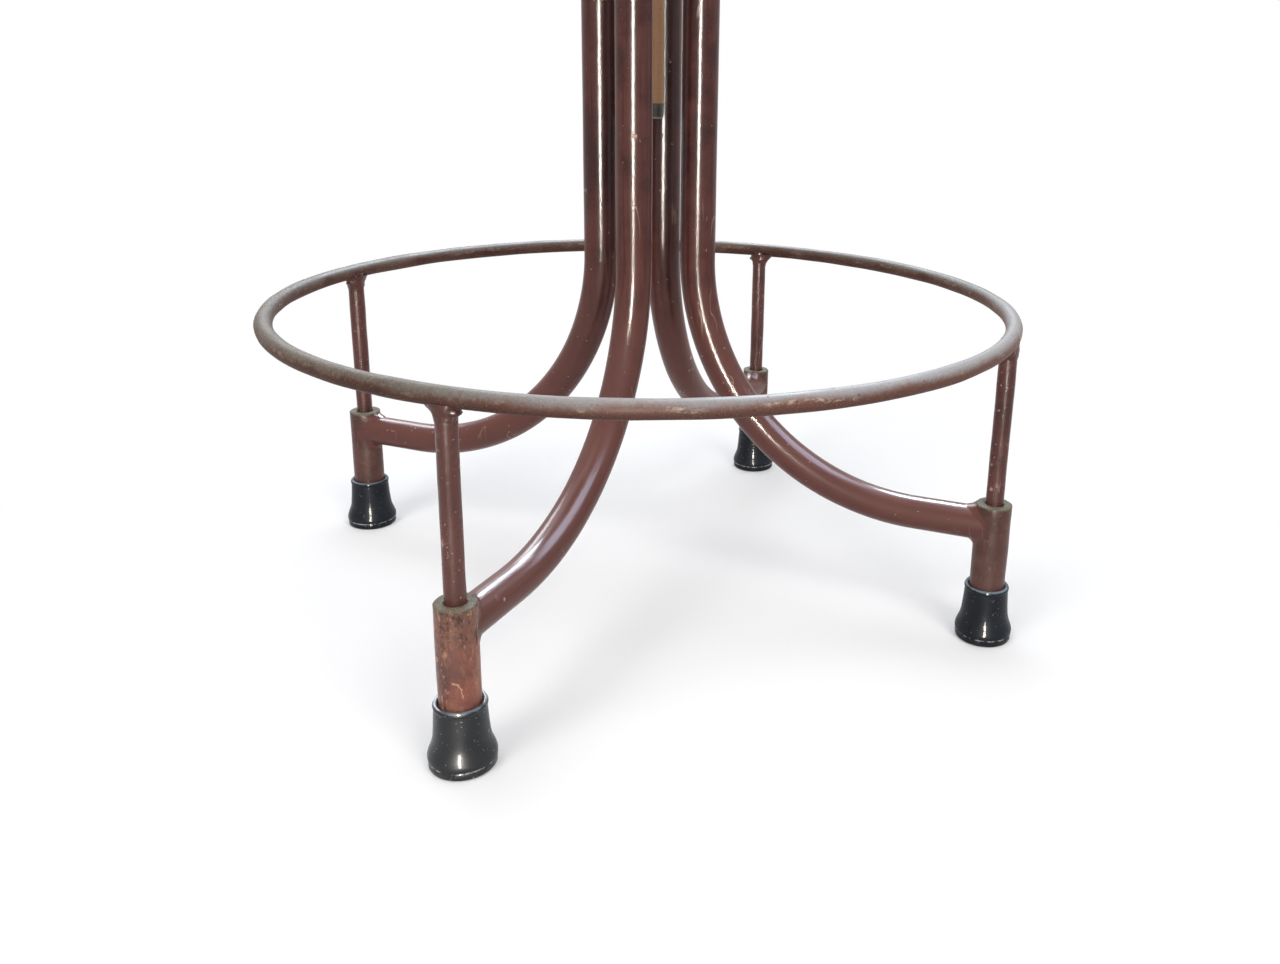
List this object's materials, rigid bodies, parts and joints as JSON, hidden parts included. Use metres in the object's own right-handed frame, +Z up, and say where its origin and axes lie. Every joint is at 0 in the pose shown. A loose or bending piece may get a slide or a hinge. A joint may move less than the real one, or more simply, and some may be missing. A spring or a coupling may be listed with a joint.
{
  "type": "adjustable stool",
  "caption": "Industrial stool with four bent tube legs, a round foot ring on posts, rubber feet and a round swivel seat on a clamped stem.",
  "frame": {"origin": "middle of the floor under the stool, on the axis of the stem", "axes": "+Z up along the stem, -Y towards the front of the stool where the clamp bar is, +X to the right; the legs stand on the diagonals"},
  "size_m": [0.5493, 0.5492, 0.7333],
  "materials": {
    "leg_paint": "old semi-gloss red-brown paint on steel tube",
    "foot_paint": "old semi-gloss red-brown paint on steel bar",
    "post_paint": "dark brown paint, speckled with wear",
    "ring_metal": "brown paint worn to dull grey-brown metal on top",
    "hub_paint": "brown paint on an iron casting",
    "rubber": "glossy black rubber",
    "stem_metal": "dull tan patinated tube",
    "plug_metal": "dark grey-green plug",
    "steel": "dull worn steel",
    "knob_metal": "brown paint worn at the crown",
    "bronze": "dull bronze",
    "seat_wood": "oiled hardwood with a worn dish"
  },
  "bodies": {
    "frame": {"leg_front_left": "leg_paint", "foot_socket_front_left": "foot_paint", "ring_post_front_left": "post_paint", "rubber_foot_front_left": "rubber", "leg_front_right": "leg_paint", "foot_socket_front_right": "foot_paint", "ring_post_front_right": "post_paint", "rubber_foot_front_right": "rubber", "leg_back_left": "leg_paint", "foot_socket_back_left": "foot_paint", "ring_post_back_left": "post_paint", "rubber_foot_back_left": "rubber", "leg_back_right": "leg_paint", "foot_socket_back_right": "foot_paint", "ring_post_back_right": "post_paint", "rubber_foot_back_right": "rubber", "foot_washers": "steel", "leg_braze_front_left": "leg_paint", "leg_braze_front_right": "leg_paint", "leg_braze_back_left": "leg_paint", "leg_braze_back_right": "leg_paint", "ring_weld_front_left": "post_paint", "ring_weld_front_right": "post_paint", "ring_weld_back_left": "post_paint", "ring_weld_back_right": "post_paint", "foot_ring": "ring_metal", "top_hub": "hub_paint", "hub_brazes": "hub_paint", "guide_bush": "bronze"},
    "stem": {"seat_stem": "stem_metal", "stem_end_plug": "plug_metal", "stem_top_pivot": "steel", "thrust_washer": "bronze", "retainer_washer": "steel", "retainer_screw": "steel"},
    "seat": {"seat_flange": "hub_paint", "seat_board": "seat_wood", "seat_screws": "steel"},
    "clamp_pad": {"clamp_pad": "bronze"},
    "clamp_screw": {"clamp_screw": "steel", "clamp_bar": "steel", "clamp_knobs": "knob_metal"}
  },
  "joints": [
    {"name": "stem_slide", "type": "slide", "parent": "frame", "child": "stem", "axis": [0, 0, 1], "range_m": [-0.055, 0.14]},
    {"name": "seat_swivel", "type": "hinge", "parent": "stem", "child": "seat", "pos_m": [0, 0, 0.7], "axis": [0, 0, 1], "continuous": true},
    {"name": "clamp_feed", "type": "slide", "parent": "frame", "child": "clamp_pad", "axis": [0, 1, 0], "range_m": [-0.00175, 0]},
    {"name": "clamp_turn", "type": "hinge", "parent": "clamp_pad", "child": "clamp_screw", "pos_m": [0, -0.05, 0.566], "axis": [0, 1, 0], "range_deg": [-360, 0]}
  ],
  "couplings": [
    {"joint": "clamp_feed", "follows": "clamp_turn", "m_per_rad": 0.00027852}
  ]
}
